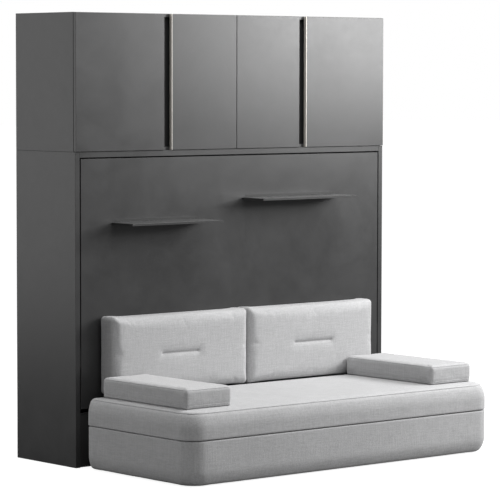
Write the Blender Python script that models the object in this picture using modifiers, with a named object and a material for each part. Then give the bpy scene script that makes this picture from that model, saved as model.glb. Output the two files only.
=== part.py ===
"""Horizontal wall bed with an overhead cabinet and a sofa in front of it.

The bed is closed: it stands behind its front panel. Metres, +Z up, +Y towards
the wall, +X to the right of someone who faces it. The origin is on the floor,
under the centre of the whole object.
"""

import math

import bmesh
import bpy
from mathutils import Vector

# ---------------------------------------------------------------- overall size
CABINET_WIDTH = 2.200
CABINET_DEPTH = 0.5315
CABINET_HEIGHT = 2.400
LOWER_HEIGHT = 1.667
SOFA_PROJECTION = 0.954

# ------------------------------------------------------------- clearances
FIT_GAP = 0.0003
BOARD_EDGE = 0.0010
PIN_CLEARANCE = 0.0005
CUT_MARGIN = 0.001
WELD = 0.0001

# ------------------------------------------------------------- lower cabinet
LOWER_BOARD = 0.030
LOWER_BACK = 0.010
BACK_INSET = 0.004
KICK_HEIGHT = 0.290
KICK_THICKNESS = 0.018
KICK_SETBACK = 0.012
FLOOR_BOARD = 0.022

# ------------------------------------------------------------- upper cabinet
UPPER_BOARD = 0.018
UPPER_BACK = 0.008
DOOR_THICKNESS = 0.0195
DOOR_PROUD = 0.006
DOOR_STANDOFF = 0.001
DOOR_GAP = 0.003
DOOR_EDGE = 0.0012
SLOT_WIDTH = 0.050
SLOT_FROM_END = 0.618
HANDLE_WALL = 0.003
HANDLE_LIP = 0.001
RECESS_BOARD_WIDTH = 0.110
RECESS_BOARD_THICKNESS = 0.012
RECESS_DEPTH = 0.016
UPPER_SHELF_SETBACK = 0.060
CUP_RADIUS = 0.0172
CUP_DEPTH = 0.0115
CUP_FROM_EDGE = 0.0225
CUP_FROM_END = 0.105
CUP_RIM = 0.0008

# ------------------------------------------------------------- bed
BED_GAP = 0.007
PANEL_THICKNESS = 0.020
PANEL_BOTTOM = 0.310
PIVOT_Y = 0.030
PIVOT_Z = 0.575
MATTRESS_END_ROOM = 0.070
MATTRESS_HEADROOM = 0.037
MATTRESS_THICKNESS = 0.160
MATTRESS_BOTTOM = 0.400
MATTRESS_PLAY = 0.003
MATTRESS_ROUND = 0.022
RAIL_THICKNESS = 0.020
RAIL_DEPTH = 0.120
SLAT_THICKNESS = 0.012
SLAT_OFF_PANEL = 0.020
SLAT_COUNT = 15
SLAT_SHARE = 0.55
BEARER_WIDTH = 0.070
STRAP_WIDTH = 0.040
STRAP_THICKNESS = 0.0012
STRAP_X = 0.520
STRAP_TAIL = 0.090

# ------------------------------------------------------------- lifting gear
PLATE_THICKNESS = 0.0055
BED_PLATE_OFF_PANEL = 0.003
BED_PLATE_WIDTH = 0.075
BED_PLATE_ABOVE_PIN = 0.070
BED_PLATE_BELOW_STUD = 0.025
WALL_PLATE_INSET = 0.004
WALL_PLATE_BELOW_PIN = 0.050
WALL_PLATE_ABOVE_PIN = 0.060
WALL_PLATE_FOOT = 0.110
WALL_PLATE_BESIDE_STUD = 0.035
WALL_PLATE_ABOVE_STUD = 0.030
WALL_PLATE_BELOW_STUD = 0.060
PIN_RADIUS = 0.008
PIN_SHOULDER = 0.0095
STRUT_INSET = 0.0235
STRUT_RADIUS = 0.010
STRUT_EYE = 0.0075
STRUT_NECK = 0.020
STRUT_END_WALL = 0.012
STRUT_THROAT = 0.0045
STRUT_SHOULDER = 0.002
ROD_SHANK_END = 0.014
ROD_RADIUS = 0.004
ROD_TUCK = 0.050
ROD_END_PLAY = 0.001
STUD_RADIUS = 0.005
STRUT_TOP_Y = 0.330
STRUT_TOP_Z = 1.020
STRUT_FOOT_Y = 0.060
STRUT_FOOT_DROP = 0.160

# ------------------------------------------------------------- legs
LEG_THICKNESS = 0.005
LEG_DEPTH = 0.024
LEG_PIVOT_Y = 0.040
LEG_PIVOT_DROP = 0.018
LEG_AXLE = 0.004
LEG_AXLE_DEPTH = 0.010

# ------------------------------------------------------------- shelves
SHELF_THICKNESS = 0.012
SHELF_DEPTH = 0.180
SHELF_HINGE_OFF = 0.006
SHELVES = {
    "left": {"middle": -0.549, "width": 0.620, "below_ceiling": 0.347},
    "right": {"middle": 0.395, "width": 0.700, "below_ceiling": 0.239},
}

# ------------------------------------------------------------- sofa
SOFA_INSET_LEFT = 0.003
SOFA_INSET_RIGHT = 0.050
SOFA_BEHIND = 0.100
SOFA_FRONT_CORNER = 0.110
SOFA_REAR_CORNER = 0.020
SOFA_TIGHTEST_CORNER = 0.004
BASE_HEIGHT = 0.234
BASE_TOP_ROUND = {"inset": 0.006, "drop": 0.012}
BASE_FOOT_ROUND = {"inset": 0.032, "drop": 0.075}
SEAT_GAP = 0.003
SEAT_TOP = 0.385
SEAT_TOP_ROUND = {"inset": 0.050, "drop": 0.070}
SEAT_FOOT_ROUND = {"inset": 0.006, "drop": 0.014}
BACK_OFFSET = -0.018
BACK_FROM_END = 0.172
BACK_SPACING = 0.005
BACK_HEIGHT = 0.410
BACK_THICKNESS = 0.138
BACK_CLEARANCE = 0.005
BACK_ROUND = 0.050
BACK_OFF_PANEL = 0.006
ARM_WIDTH = 0.300
ARM_REAR_ROOM = 0.254
ARM_THICKNESS = 0.104
ARM_ROUND = 0.022
ARM_CLEARANCE = 0.004
CORNER_STEPS = 6
ROUND_STEPS = 4
ARMS = {
    "left": {"from_end": 0.060, "from_front": 0.107},
    "right": {"from_end": 0.066, "from_front": 0.105},
}

# ------------------------------------------------------------- derived places
TOTAL_DEPTH = CABINET_DEPTH + SOFA_PROJECTION
WALL_Y = TOTAL_DEPTH / 2
FRONT_Y = WALL_Y - CABINET_DEPTH
HALF_WIDTH = CABINET_WIDTH / 2
INNER_HALF = HALF_WIDTH - LOWER_BOARD
UPPER_BOTTOM = LOWER_HEIGHT + FIT_GAP
DOOR_FRONT = FRONT_Y - DOOR_PROUD
DOOR_BACK = DOOR_FRONT + DOOR_THICKNESS
UPPER_FRONT = DOOR_BACK + DOOR_STANDOFF
LOWER_CEILING = LOWER_HEIGHT - LOWER_BOARD
PANEL_HALF = INNER_HALF - BED_GAP
PANEL_TOP = LOWER_CEILING - BED_GAP
PANEL_BACK = FRONT_Y + PANEL_THICKNESS
PIVOT = Vector((0, FRONT_Y + PIVOT_Y, PIVOT_Z))
MATTRESS_LENGTH = 2 * (INNER_HALF - MATTRESS_END_ROOM)
MATTRESS_WIDTH = LOWER_CEILING - MATTRESS_HEADROOM - MATTRESS_BOTTOM
FRAME_HALF = MATTRESS_LENGTH / 2 + MATTRESS_PLAY
FRAME_BOTTOM = MATTRESS_BOTTOM - MATTRESS_PLAY
FRAME_TOP = MATTRESS_BOTTOM + MATTRESS_WIDTH + MATTRESS_PLAY
SLAT_FRONT = PANEL_BACK + SLAT_OFF_PANEL
MATTRESS_FRONT = SLAT_FRONT + SLAT_THICKNESS + FIT_GAP
SOFA_FRONT = FRONT_Y - SOFA_PROJECTION
SOFA_BACK = FRONT_Y - SOFA_BEHIND
SOFA_LEFT = -HALF_WIDTH + SOFA_INSET_LEFT
SOFA_RIGHT = HALF_WIDTH - SOFA_INSET_RIGHT
BACK_WIDTH = HALF_WIDTH - BACK_FROM_END
ARM_LENGTH = SOFA_PROJECTION - ARM_REAR_ROOM
SLOT_CENTRE = HALF_WIDTH - SLOT_FROM_END
SIDES = {"left": -1, "right": 1}

for old in list(bpy.data.objects):
    bpy.data.objects.remove(old)

PARTS = bpy.data.collections.new("murphy_wall_bed")
CUTTERS = bpy.data.collections.new("cutters")
for collection in (PARTS, CUTTERS):
    bpy.context.scene.collection.children.link(collection)


# ------------------------------------------------------------- materials
def make_material(name, colour, roughness, metallic=0.0):
    material = bpy.data.materials.new(name)
    material.use_nodes = True
    shader = material.node_tree.nodes["Principled BSDF"]
    shader.inputs["Base Color"].default_value = (*colour, 1.0)
    shader.inputs["Roughness"].default_value = roughness
    shader.inputs["Metallic"].default_value = metallic
    material.diffuse_color = (*colour, 1.0)
    return material


ANTHRACITE = make_material("anthracite_lacquer", (0.045, 0.046, 0.048), 0.42)
DARK_INSIDE = make_material("dark_inside_board", (0.020, 0.020, 0.021), 0.60)
CHAMPAGNE = make_material("champagne_aluminium", (0.62, 0.56, 0.47), 0.30, 1.0)
STEEL = make_material("black_steel", (0.030, 0.030, 0.032), 0.40, 0.8)
BRIGHT_STEEL = make_material("bright_steel", (0.55, 0.55, 0.56), 0.25, 1.0)
GREY_LINEN = make_material("grey_linen", (0.42, 0.42, 0.43), 0.90)
MATTRESS_CLOTH = make_material("mattress_cloth", (0.78, 0.77, 0.74), 0.90)
BIRCH = make_material("birch_slats", (0.62, 0.46, 0.28), 0.55)
WEBBING = make_material("black_webbing", (0.03, 0.03, 0.03), 0.85)


# ------------------------------------------------------------- helpers
def keep(obj, material):
    """Puts a finished piece into the object's own collection."""
    for collection in list(obj.users_collection):
        collection.objects.unlink(obj)
    PARTS.objects.link(obj)
    obj.data.materials.clear()
    obj.data.materials.append(material)
    return obj


def make_cutter(obj):
    for collection in list(obj.users_collection):
        collection.objects.unlink(obj)
    CUTTERS.objects.link(obj)
    obj.hide_render = True
    obj.display_type = "WIRE"
    return obj


def block_mesh(size):
    """A centred box of the given size, as an editable bmesh."""
    form = bmesh.new()
    bmesh.ops.create_cube(form, size=1.0)
    bmesh.ops.scale(form, vec=size, verts=form.verts)
    return form


def from_bmesh(form, name, centre):
    mesh = bpy.data.meshes.new(name)
    form.to_mesh(mesh)
    form.free()
    obj = bpy.data.objects.new(name, mesh)
    obj.location = centre
    return obj


def middle_and_size(x, y, z):
    lows = Vector((x[0], y[0], z[0]))
    highs = Vector((x[1], y[1], z[1]))
    return (lows + highs) / 2, highs - lows


def board(name, x, y, z, material, edge=BOARD_EDGE):
    """A flat board between two X, two Y and two Z values, with eased edges."""
    centre, size = middle_and_size(x, y, z)
    bpy.ops.mesh.primitive_cube_add(size=1.0, location=centre)
    obj = bpy.context.object
    obj.name = name
    obj.data.name = name
    for vertex in obj.data.vertices:
        vertex.co = vertex.co * size
    if edge:
        ease = obj.modifiers.new("eased_edges", "BEVEL")
        ease.width = edge
        ease.segments = 1
        ease.limit_method = "ANGLE"
    return keep(obj, material)


def slab_outline(x, y, inset):
    """A slab's plan, drawn in by an inset: wide corners in front, tight ones behind."""
    corners = [
        (x[0], y[0], SOFA_FRONT_CORNER, 180), (x[1], y[0], SOFA_FRONT_CORNER, 270),
        (x[1], y[1], SOFA_REAR_CORNER, 0), (x[0], y[1], SOFA_REAR_CORNER, 90),
    ]
    middle = Vector((sum(x) / 2, sum(y) / 2))
    points = []
    for corner_x, corner_y, radius, start in corners:
        bend = max(radius - inset, SOFA_TIGHTEST_CORNER)
        side_x = math.copysign(1, middle.x - corner_x)
        side_y = math.copysign(1, middle.y - corner_y)
        centre = Vector((corner_x + side_x * (inset + bend), corner_y + side_y * (inset + bend)))
        for step in range(CORNER_STEPS + 1):
            angle = math.radians(start + 90 * step / CORNER_STEPS)
            points.append(centre + bend * Vector((math.cos(angle), math.sin(angle))))
    return points


def rounded_levels(z, foot, top):
    """Heights and insets up a slab's side: a round foot, a plain middle and a round top."""
    turn = [math.radians(90 * step / ROUND_STEPS) for step in range(ROUND_STEPS + 1)]
    low = [
        (z[0] + foot["drop"] * (1 - math.cos(angle)), foot["inset"] * (1 - math.sin(angle)))
        for angle in turn
    ]
    high = [
        (z[1] - top["drop"] * (1 - math.cos(angle)), top["inset"] * (1 - math.sin(angle)))
        for angle in reversed(turn)
    ]
    return low + high


def soft_slab(name, x, y, z, foot, top, material):
    """A padded slab, lofted through its outline at each level of its rounded side."""
    form = bmesh.new()
    rings = [
        [form.verts.new((point.x, point.y, height)) for point in slab_outline(x, y, inset)]
        for height, inset in rounded_levels(z, foot, top)
    ]
    form.faces.new(list(reversed(rings[0])))
    form.faces.new(rings[-1])
    for lower, upper in zip(rings, rings[1:]):
        for index, corner in enumerate(lower):
            after = (index + 1) % len(lower)
            form.faces.new((corner, lower[after], upper[after], upper[index]))
    obj = from_bmesh(form, name, (0, 0, 0))
    obj.data.shade_smooth()
    return keep(obj, material)


def pillow(name, x, y, z, radius, material):
    """A cushion: a box whose edges are all rounded alike."""
    centre, size = middle_and_size(x, y, z)
    form = block_mesh(size)
    bmesh.ops.bevel(
        form, geom=list(form.edges), offset=radius, segments=4, profile=0.5, affect="EDGES"
    )
    obj = from_bmesh(form, name, centre)
    obj.data.shade_smooth()
    return keep(obj, material)


def cylinder_x(name, x, y, z, radius, sides=24):
    """A round bar along X from x[0] to x[1]."""
    low, high = sorted(x)
    bpy.ops.mesh.primitive_cylinder_add(
        radius=radius, depth=high - low, vertices=sides,
        location=((low + high) / 2, y, z), rotation=(0, math.pi / 2, 0),
    )
    obj = bpy.context.object
    obj.name = name
    obj.data.name = name
    return obj


def cylinder_y(name, x, y, z, radius, sides=32):
    """A round bar along Y from y[0] to y[1]."""
    low, high = sorted(y)
    bpy.ops.mesh.primitive_cylinder_add(
        radius=radius, depth=high - low, vertices=sides,
        location=(x, (low + high) / 2, z), rotation=(math.pi / 2, 0, 0),
    )
    obj = bpy.context.object
    obj.name = name
    obj.data.name = name
    return obj


def cut(obj, cutter, name, operation="DIFFERENCE"):
    step = obj.modifiers.new(name, "BOOLEAN")
    step.operation = operation
    step.object = make_cutter(cutter)
    return step


def turned(name, profile, centre, rotation, material, steps=20):
    """A turned piece. The profile runs from the top of the axis down its outer side."""
    form = bmesh.new()
    points = [form.verts.new((radius, 0, height)) for radius, height in profile]
    for first, second in zip(points, points[1:]):
        form.edges.new((first, second))
    obj = from_bmesh(form, name, centre)
    obj.rotation_euler = rotation
    lathe = obj.modifiers.new("lathe", "SCREW")
    lathe.axis = "Z"
    lathe.steps = steps
    lathe.render_steps = steps
    lathe.use_merge_vertices = True
    lathe.merge_threshold = WELD
    lathe.use_smooth_shade = True
    return keep(obj, material)


def plate(name, outline, x, material):
    """A flat steel plate of a Y, Z outline, from x[0] to x[1]."""
    low, high = sorted(x)
    curve = bpy.data.curves.new(name, "CURVE")
    curve.dimensions = "2D"
    curve.fill_mode = "BOTH"
    curve.extrude = (high - low) / 2
    spline = curve.splines.new("POLY")
    spline.points.add(len(outline) - 1)
    for point, (y, z) in zip(spline.points, outline):
        point.co = (y, z, 0, 1)
    spline.use_cyclic_u = True
    guide = bpy.data.objects.new(name + "_outline", curve)
    guide.location = ((low + high) / 2, 0, 0)
    guide.rotation_euler = (math.pi / 2, 0, math.pi / 2)
    bpy.context.scene.collection.objects.link(guide)
    bpy.context.view_layer.update()
    graph = bpy.context.evaluated_depsgraph_get()
    mesh = bpy.data.meshes.new_from_object(guide.evaluated_get(graph))
    form = bmesh.new()
    form.from_mesh(mesh)
    bmesh.ops.remove_doubles(form, verts=form.verts, dist=WELD)
    form.to_mesh(mesh)
    form.free()
    obj = bpy.data.objects.new(name, mesh)
    obj.matrix_world = guide.matrix_world
    bpy.data.objects.remove(guide)
    return keep(obj, material)


def axis_empty(name, place):
    """An empty on a joint's axis. The pieces that move together hang on it."""
    empty = bpy.data.objects.new(name, None)
    empty.empty_display_size = 0.05
    empty.location = place
    PARTS.objects.link(empty)
    return empty


def hang(parent, *pieces):
    """Parents unturned pieces to an empty and keeps them where they are."""
    parent_place = world_place(parent)
    for piece in pieces:
        piece.parent = parent
        piece.location = piece.location - parent_place


def world_place(obj):
    place = Vector(obj.location)
    while obj.parent:
        obj = obj.parent
        place = place + obj.location
    return place


# ------------------------------------------------------------- cabinets
def make_lower_cabinet():
    for side, sign in SIDES.items():
        outer = sign * HALF_WIDTH
        inner = sign * INNER_HALF
        board(
            f"lower_side_{side}", sorted((outer, inner)), (FRONT_Y, WALL_Y),
            (0, LOWER_HEIGHT), ANTHRACITE,
        )
    inside = (-INNER_HALF + FIT_GAP, INNER_HALF - FIT_GAP)
    back_face = WALL_Y - BACK_INSET - LOWER_BACK
    board("lower_top", inside, (FRONT_Y, WALL_Y), (LOWER_CEILING, LOWER_HEIGHT), ANTHRACITE)
    board(
        "lower_back", inside, (back_face, WALL_Y - BACK_INSET),
        (FLOOR_BOARD + FIT_GAP, LOWER_CEILING - FIT_GAP), DARK_INSIDE,
    )
    kick_front = FRONT_Y + KICK_SETBACK
    kick_back = kick_front + KICK_THICKNESS
    board("kick_panel", inside, (kick_front, kick_back), (0, KICK_HEIGHT), ANTHRACITE)
    board(
        "lower_floor_board", inside, (kick_back + FIT_GAP, WALL_Y - BACK_INSET),
        (0, FLOOR_BOARD), DARK_INSIDE,
    )


def make_upper_cabinet():
    bottom_top = UPPER_BOTTOM + UPPER_BOARD
    top_under = CABINET_HEIGHT - UPPER_BOARD
    inner = HALF_WIDTH - UPPER_BOARD
    for side, sign in SIDES.items():
        board(
            f"upper_side_{side}", sorted((sign * HALF_WIDTH, sign * inner)),
            (UPPER_FRONT, WALL_Y), (UPPER_BOTTOM, CABINET_HEIGHT), ANTHRACITE,
        )
    inside = (-inner + FIT_GAP, inner - FIT_GAP)
    board("upper_bottom", inside, (UPPER_FRONT, WALL_Y), (UPPER_BOTTOM, bottom_top), ANTHRACITE)
    board("upper_top", inside, (UPPER_FRONT, WALL_Y), (top_under, CABINET_HEIGHT), ANTHRACITE)
    bay = (bottom_top + FIT_GAP, top_under - FIT_GAP)
    back_face = WALL_Y - BACK_INSET - UPPER_BACK
    board("upper_back", inside, (back_face, WALL_Y - BACK_INSET), bay, DARK_INSIDE)
    half_divider = UPPER_BOARD / 2
    before_back = (UPPER_FRONT, back_face - FIT_GAP)
    board("centre_divider", (-half_divider, half_divider), before_back, bay, ANTHRACITE)
    recess_front = UPPER_FRONT + RECESS_DEPTH
    recess_back = recess_front + RECESS_BOARD_THICKNESS
    shelf_top = (bottom_top + top_under + UPPER_BOARD) / 2
    for side, sign in SIDES.items():
        middle = sign * SLOT_CENTRE
        half = RECESS_BOARD_WIDTH / 2
        board(
            f"finger_recess_board_{side}", (middle - half, middle + half),
            (recess_front, recess_back), bay, DARK_INSIDE,
        )
        shelf_ends = sorted((sign * (half_divider + FIT_GAP), sign * (inner - FIT_GAP)))
        board(
            f"upper_shelf_{side}", shelf_ends,
            (UPPER_FRONT + UPPER_SHELF_SETBACK, back_face - FIT_GAP),
            (shelf_top - UPPER_BOARD, shelf_top), DARK_INSIDE,
        )


def make_door(number, low, high, hinge_sign, handle):
    """One overlay door from x=low to x=high, turning about its front corner."""
    z = (UPPER_BOTTOM + DOOR_GAP / 2, CABINET_HEIGHT - DOOR_EDGE)
    panel_low = low
    if handle:
        panel_low = low + HANDLE_WALL + FIT_GAP
    door = board(
        f"door_{number}", (panel_low, high), (DOOR_FRONT, DOOR_BACK), z, ANTHRACITE, DOOR_EDGE
    )
    hinge_x = high if hinge_sign > 0 else low
    axis = axis_empty(f"door_{number}_axis", (hinge_x, DOOR_FRONT, 0))
    pieces = [door]
    if handle:
        pieces.append(board(
            f"door_{number}_handle_profile", (low, low + HANDLE_WALL),
            (DOOR_FRONT - HANDLE_LIP, DOOR_BACK), z, CHAMPAGNE, HANDLE_LIP / 2,
        ))
    cup_x = hinge_x - hinge_sign * CUP_FROM_EDGE
    bore_floor = DOOR_BACK - CUP_DEPTH - FIT_GAP
    for place, height in (("low", z[0] + CUP_FROM_END), ("high", z[1] - CUP_FROM_END)):
        bore = cylinder_y(
            f"door_{number}_bore_{place}", cup_x, (bore_floor, DOOR_BACK + CUT_MARGIN), height,
            CUP_RADIUS + FIT_GAP,
        )
        cut(door, bore, f"hinge_bore_{place}")
        bore.parent = axis
        bore.location = bore.location - axis.location
        profile = [
            (0, CUP_DEPTH), (CUP_RADIUS, CUP_DEPTH), (CUP_RADIUS, 0),
            (CUP_RADIUS - CUP_RIM, 0), (CUP_RADIUS - CUP_RIM, CUP_DEPTH - CUP_RIM),
            (0, CUP_DEPTH - CUP_RIM),
        ]
        cup = turned(
            f"door_{number}_hinge_cup_{place}", profile, (cup_x, DOOR_BACK, height),
            (math.pi / 2, 0, 0), BRIGHT_STEEL, 24,
        )
        pieces.append(cup)
    hang(axis, *pieces)


def make_doors():
    slot = SLOT_WIDTH / 2
    reveal = DOOR_GAP / 2
    outer = HALF_WIDTH - DOOR_EDGE
    make_door(1, -outer, -SLOT_CENTRE - slot, -1, False)
    make_door(2, -SLOT_CENTRE + slot, -reveal, 1, True)
    make_door(3, reveal, SLOT_CENTRE - slot, -1, False)
    make_door(4, SLOT_CENTRE + slot, outer, 1, True)


# ------------------------------------------------------------- bed
def make_slats():
    """Slats between two bearers, cut from one grid and given their thickness."""
    pitch = 2 * (FRAME_HALF - FIT_GAP) / (SLAT_COUNT - 1 + SLAT_SHARE)
    slat = pitch * SLAT_SHARE
    start = -FRAME_HALF + FIT_GAP
    columns = []
    for index in range(SLAT_COUNT):
        columns += [start + index * pitch, start + index * pitch + slat]
    low = FRAME_BOTTOM + FIT_GAP
    high = FRAME_TOP - FIT_GAP
    rows = [low, low + BEARER_WIDTH, high - BEARER_WIDTH, high]
    form = bmesh.new()
    grid = [[form.verts.new((x, 0, z)) for z in rows] for x in columns]
    for column in range(len(columns) - 1):
        for row in range(len(rows) - 1):
            is_gap = column % 2 == 1 and row == 1
            if is_gap:
                continue
            left, right = grid[column], grid[column + 1]
            form.faces.new((left[row], right[row], right[row + 1], left[row + 1]))
    obj = from_bmesh(form, "slatted_base", (0, SLAT_FRONT, 0))
    wall = obj.modifiers.new("thickness", "SOLIDIFY")
    wall.thickness = SLAT_THICKNESS
    wall.offset = -1
    return keep(obj, BIRCH)


def make_strap(side, sign):
    """A band over the mattress, tucked in between it and the two long rails."""
    face = MATTRESS_FRONT + MATTRESS_THICKNESS + FIT_GAP + STRAP_THICKNESS / 2
    tail = face - STRAP_TAIL
    low = MATTRESS_BOTTOM - MATTRESS_PLAY / 2
    high = MATTRESS_BOTTOM + MATTRESS_WIDTH + MATTRESS_PLAY / 2
    route = [(tail, low), (face, low), (face, high), (tail, high)]
    form = bmesh.new()
    edges = [-STRAP_WIDTH / 2, STRAP_WIDTH / 2]
    rows = [[form.verts.new((x, y, z)) for x in edges] for y, z in route]
    for first, second in zip(rows, rows[1:]):
        form.faces.new((first[0], first[1], second[1], second[0]))
    obj = from_bmesh(form, f"mattress_strap_{side}", (sign * STRAP_X, 0, 0))
    wall = obj.modifiers.new("thickness", "SOLIDIFY")
    wall.thickness = STRAP_THICKNESS
    wall.offset = 0
    wall.use_even_offset = True
    return keep(obj, WEBBING)


def bed_plate_outline():
    """Arm plate on the bed's end rail: from above the pivot down to the strut stud."""
    front = PANEL_BACK + BED_PLATE_OFF_PANEL
    back = front + BED_PLATE_WIDTH
    top = PIVOT_Z + BED_PLATE_ABOVE_PIN
    foot = PIVOT_Z - STRUT_FOOT_DROP - BED_PLATE_BELOW_STUD
    return [(front, top), (back, top), (back, foot), (front, foot)]


def wall_plate_outline():
    """Plate on the cabinet side: pivot at its foot, strut stud at its head."""
    front = FRONT_Y + WALL_PLATE_INSET
    foot = PIVOT_Z - WALL_PLATE_BELOW_PIN
    head_front = FRONT_Y + STRUT_TOP_Y - WALL_PLATE_BESIDE_STUD
    head_back = FRONT_Y + STRUT_TOP_Y + WALL_PLATE_BESIDE_STUD
    head_top = STRUT_TOP_Z + WALL_PLATE_ABOVE_STUD
    return [
        (front, foot), (FRONT_Y + WALL_PLATE_FOOT, foot),
        (head_back, STRUT_TOP_Z - WALL_PLATE_BELOW_STUD), (head_back, head_top),
        (head_front, head_top), (front, PIVOT_Z + WALL_PLATE_ABOVE_PIN),
    ]


def make_mechanism(side, sign, bed_axis):
    wall_inner = sign * (INNER_HALF - FIT_GAP)
    wall_face = wall_inner - sign * PLATE_THICKNESS
    rail_face = sign * (FRAME_HALF + RAIL_THICKNESS + FIT_GAP)
    bed_face = rail_face + sign * PLATE_THICKNESS
    strut_x = sign * (INNER_HALF - STRUT_INSET)
    pivot_y = PIVOT.y
    foot = Vector((strut_x, FRONT_Y + STRUT_FOOT_Y, PIVOT_Z - STRUT_FOOT_DROP))
    head = Vector((strut_x, FRONT_Y + STRUT_TOP_Y, STRUT_TOP_Z))
    stud_tip = FIT_GAP + STRUT_EYE

    wall = plate(f"wall_plate_{side}", wall_plate_outline(), (wall_inner, wall_face), STEEL)
    head_stud = cylinder_x(
        f"head_stud_{side}", (wall_inner - sign * PLATE_THICKNESS / 2, strut_x + sign * stud_tip),
        head.y, head.z, STUD_RADIUS,
    )
    cut(wall, head_stud, "strut_stud", "UNION")
    bore = cylinder_x(
        f"wall_bore_{side}", (wall_inner + sign * CUT_MARGIN, wall_face - sign * CUT_MARGIN),
        pivot_y, PIVOT_Z, PIN_RADIUS + PIN_CLEARANCE,
    )
    cut(wall, bore, "pivot_bore")

    arm = plate(f"bed_plate_{side}", bed_plate_outline(), (rail_face, bed_face), STEEL)
    foot_stud = cylinder_x(
        f"foot_stud_{side}", (rail_face + sign * PLATE_THICKNESS / 2, strut_x - sign * stud_tip),
        foot.y, foot.z, STUD_RADIUS,
    )
    cut(arm, foot_stud, "strut_stud", "UNION")
    arm_bore = cylinder_x(
        f"arm_bore_{side}", (rail_face - sign * CUT_MARGIN, bed_face + sign * CUT_MARGIN),
        pivot_y, PIVOT_Z, PIN_RADIUS + FIT_GAP,
    )
    cut(arm, arm_bore, "pivot_bore")
    arm.parent = bed_axis
    arm.matrix_parent_inverse.translation = -bed_axis.location
    for cutter in (foot_stud, arm_bore):
        cutter.parent = bed_axis
        cutter.matrix_parent_inverse.translation = -bed_axis.location

    pin_start = abs(rail_face)
    pin_end = abs(wall_inner) - FIT_GAP
    shoulder = (abs(bed_face) + FIT_GAP, abs(wall_face) - FIT_GAP)
    profile = [
        (0, pin_end), (PIN_RADIUS, pin_end), (PIN_RADIUS, shoulder[1]),
        (PIN_SHOULDER, shoulder[1]), (PIN_SHOULDER, shoulder[0]),
        (PIN_RADIUS, shoulder[0]), (PIN_RADIUS, pin_start), (0, pin_start),
    ]
    pin = turned(
        f"pivot_pin_{side}", profile, (0, pivot_y, PIVOT_Z), (0, sign * math.pi / 2, 0),
        BRIGHT_STEEL,
    )
    pin.parent = bed_axis
    pin.location = pin.location - bed_axis.location
    make_strut(side, head, foot)


def open_foot(foot):
    """Where the foot stud is once the bed has turned down by a right angle."""
    arm = foot - PIVOT
    return Vector((foot.x, PIVOT.y - arm.z, PIVOT.z + arm.y))


def make_strut(side, head, foot):
    """A gas strut: the cylinder hangs from the head stud, the rod runs to the foot."""
    run = foot - head
    length = run.length
    stroke = length - (open_foot(foot) - head).length
    tilt = math.atan2(-run.y, -run.z)
    rotation = (-tilt, 0, 0)
    head_axis = axis_empty(f"strut_{side}_axis", head)
    bore_top = -STRUT_NECK - STRUT_END_WALL
    rod_top = bore_top - ROD_END_PLAY - stroke
    body_end = rod_top - ROD_TUCK
    bore = ROD_RADIUS + PIN_CLEARANCE
    eye = [
        (STRUT_EYE * math.sin(angle), STRUT_EYE * math.cos(angle))
        for angle in [math.radians(step) for step in (0, 30, 60, 90, 120)]
    ]
    cylinder_profile = eye + [
        (STRUT_THROAT, -STRUT_NECK), (STRUT_RADIUS, -STRUT_NECK - STRUT_SHOULDER),
        (STRUT_RADIUS, body_end), (bore, body_end), (bore, bore_top), (0, bore_top),
    ]
    cylinder = turned(
        f"gas_strut_cylinder_{side}", cylinder_profile, head, rotation, STEEL
    )
    cylinder.parent = head_axis
    cylinder.location = (0, 0, 0)
    rod_profile = [(0, rod_top), (ROD_RADIUS, rod_top), (ROD_RADIUS, -length + ROD_SHANK_END)]
    rod_profile += [
        (STRUT_EYE * math.sin(angle), -length + STRUT_EYE * math.cos(angle))
        for angle in [math.radians(step) for step in (60, 90, 120, 150, 180)]
    ]
    rod_profile[-1] = (0, -length - STRUT_EYE)
    rod = turned(f"gas_strut_rod_{side}", rod_profile, head, rotation, BRIGHT_STEEL)
    rod.parent = cylinder
    rod.location = (0, 0, 0)
    rod.rotation_euler = (0, 0, 0)


def make_leg(side, sign, bed_axis):
    """A flat leg in the gap beside the panel. It hangs plumb from its axle."""
    pivot_z = PANEL_TOP - LEG_PIVOT_DROP
    pivot_y = FRONT_Y + LEG_PIVOT_Y
    stand = PIVOT_Z + LEG_PIVOT_Y - PIVOT_Y
    gap_middle = sign * (INNER_HALF - BED_GAP / 2)
    half = LEG_THICKNESS / 2
    x = (gap_middle - half, gap_middle + half)
    y = (pivot_y - LEG_DEPTH / 2, pivot_y + LEG_DEPTH / 2)
    leg = board(
        f"fold_leg_{side}", x, y, (pivot_z - stand, pivot_z + LEG_DEPTH / 2), STEEL, BOARD_EDGE
    )
    rail_outer = sign * (FRAME_HALF + RAIL_THICKNESS)
    axle = cylinder_x(
        f"leg_axle_{side}", (gap_middle, rail_outer - sign * LEG_AXLE_DEPTH),
        pivot_y, pivot_z, LEG_AXLE,
    )
    cut(leg, axle, "axle", "UNION")
    axis = axis_empty(f"leg_{side}_axis", (gap_middle, pivot_y, pivot_z))
    hang(axis, leg, axle)
    hang(bed_axis, axis)


def make_shelf(side, size, bed_axis):
    """A thin shelf that turns about a hinge line along its top rear edge."""
    x = (size["middle"] - size["width"] / 2, size["middle"] + size["width"] / 2)
    top = LOWER_CEILING - size["below_ceiling"]
    z = (top - SHELF_THICKNESS, top)
    y = (FRONT_Y - SHELF_DEPTH, FRONT_Y - FIT_GAP)
    shelf = board(f"levelling_shelf_{side}", x, y, z, ANTHRACITE)
    place = (size["middle"], FRONT_Y - SHELF_HINGE_OFF, top)
    axis = axis_empty(f"shelf_{side}_axis", place)
    hang(axis, shelf)
    hang(bed_axis, axis)


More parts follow.
